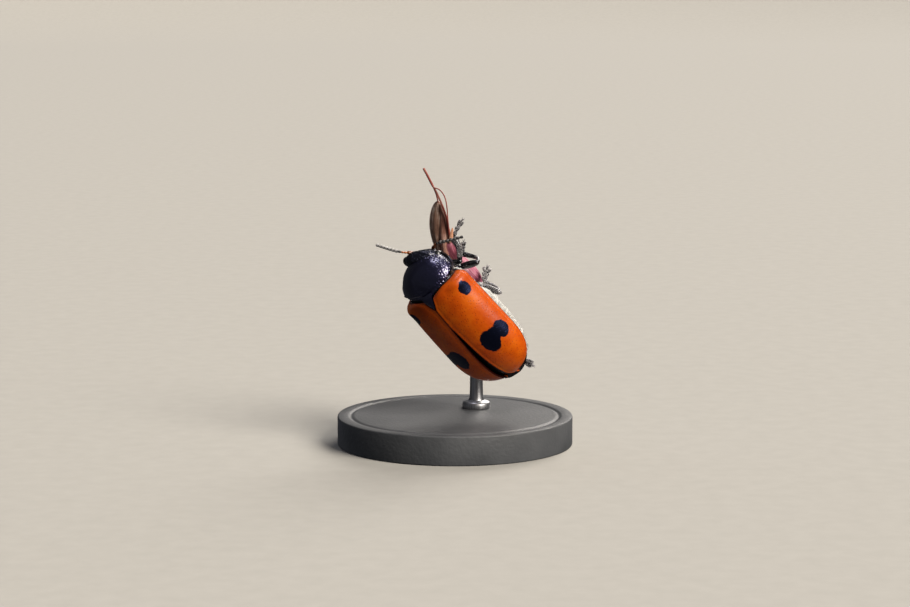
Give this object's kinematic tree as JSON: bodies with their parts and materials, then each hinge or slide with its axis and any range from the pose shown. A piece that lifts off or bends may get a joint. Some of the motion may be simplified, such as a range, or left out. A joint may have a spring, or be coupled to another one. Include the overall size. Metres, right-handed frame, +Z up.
{
  "type": "leaf beetle",
  "caption": "Life-size orange leaf beetle with black spots, gripping a cut grass spikelet on a plain round display stand.",
  "frame": {"origin": "centre of the underside of the round display base", "axes": "+Z up, -Y towards the viewer of the beetle's back, +X to that viewer's right"},
  "size_m": [0.013, 0.013, 0.0152],
  "materials": {
    "wing_case_orange": "smooth glossy orange horn with black spots",
    "black_cuticle": "polished blue-black horn",
    "eye_black": "wet black",
    "antenna_brown_black": "dull brown-black, orange at the base",
    "dry_grass": "dry papery brown and pink",
    "stand_steel": "satin",
    "stand_grey": "matt slate grey"
  },
  "bodies": {
    "root": {"abdomen": "black_cuticle", "antenna_left": "antenna_brown_black", "antenna_right": "antenna_brown_black", "elytron_left": "wing_case_orange", "elytron_right": "wing_case_orange", "eye_left": "eye_black", "eye_right": "eye_black", "head": "black_cuticle", "leg_front_left_femur": "black_cuticle", "leg_front_left_tarsus": "black_cuticle", "leg_front_left_tibia": "black_cuticle", "leg_front_right_femur": "black_cuticle", "leg_front_right_tarsus": "black_cuticle", "leg_front_right_tibia": "black_cuticle", "leg_hind_left_femur": "black_cuticle", "leg_hind_left_tarsus": "black_cuticle", "leg_hind_left_tibia": "black_cuticle", "leg_hind_right_femur": "black_cuticle", "leg_hind_right_tarsus": "black_cuticle", "leg_hind_right_tibia": "black_cuticle", "leg_middle_left_femur": "black_cuticle", "leg_middle_left_tarsus": "black_cuticle", "leg_middle_left_tibia": "black_cuticle", "leg_middle_right_femur": "black_cuticle", "leg_middle_right_tarsus": "black_cuticle", "leg_middle_right_tibia": "black_cuticle", "mandibles": "black_cuticle", "perch_glume_brown_back": "dry_grass", "perch_glume_brown_front": "dry_grass", "perch_glume_pink_back": "dry_grass", "perch_glume_pink_front": "dry_grass", "perch_stalk": "dry_grass", "pronotum": "black_cuticle", "prosternum": "black_cuticle", "scutellum": "black_cuticle", "stand_base": "stand_grey", "stand_rod": "stand_steel", "thorax": "black_cuticle"}
  },
  "joints": []
}
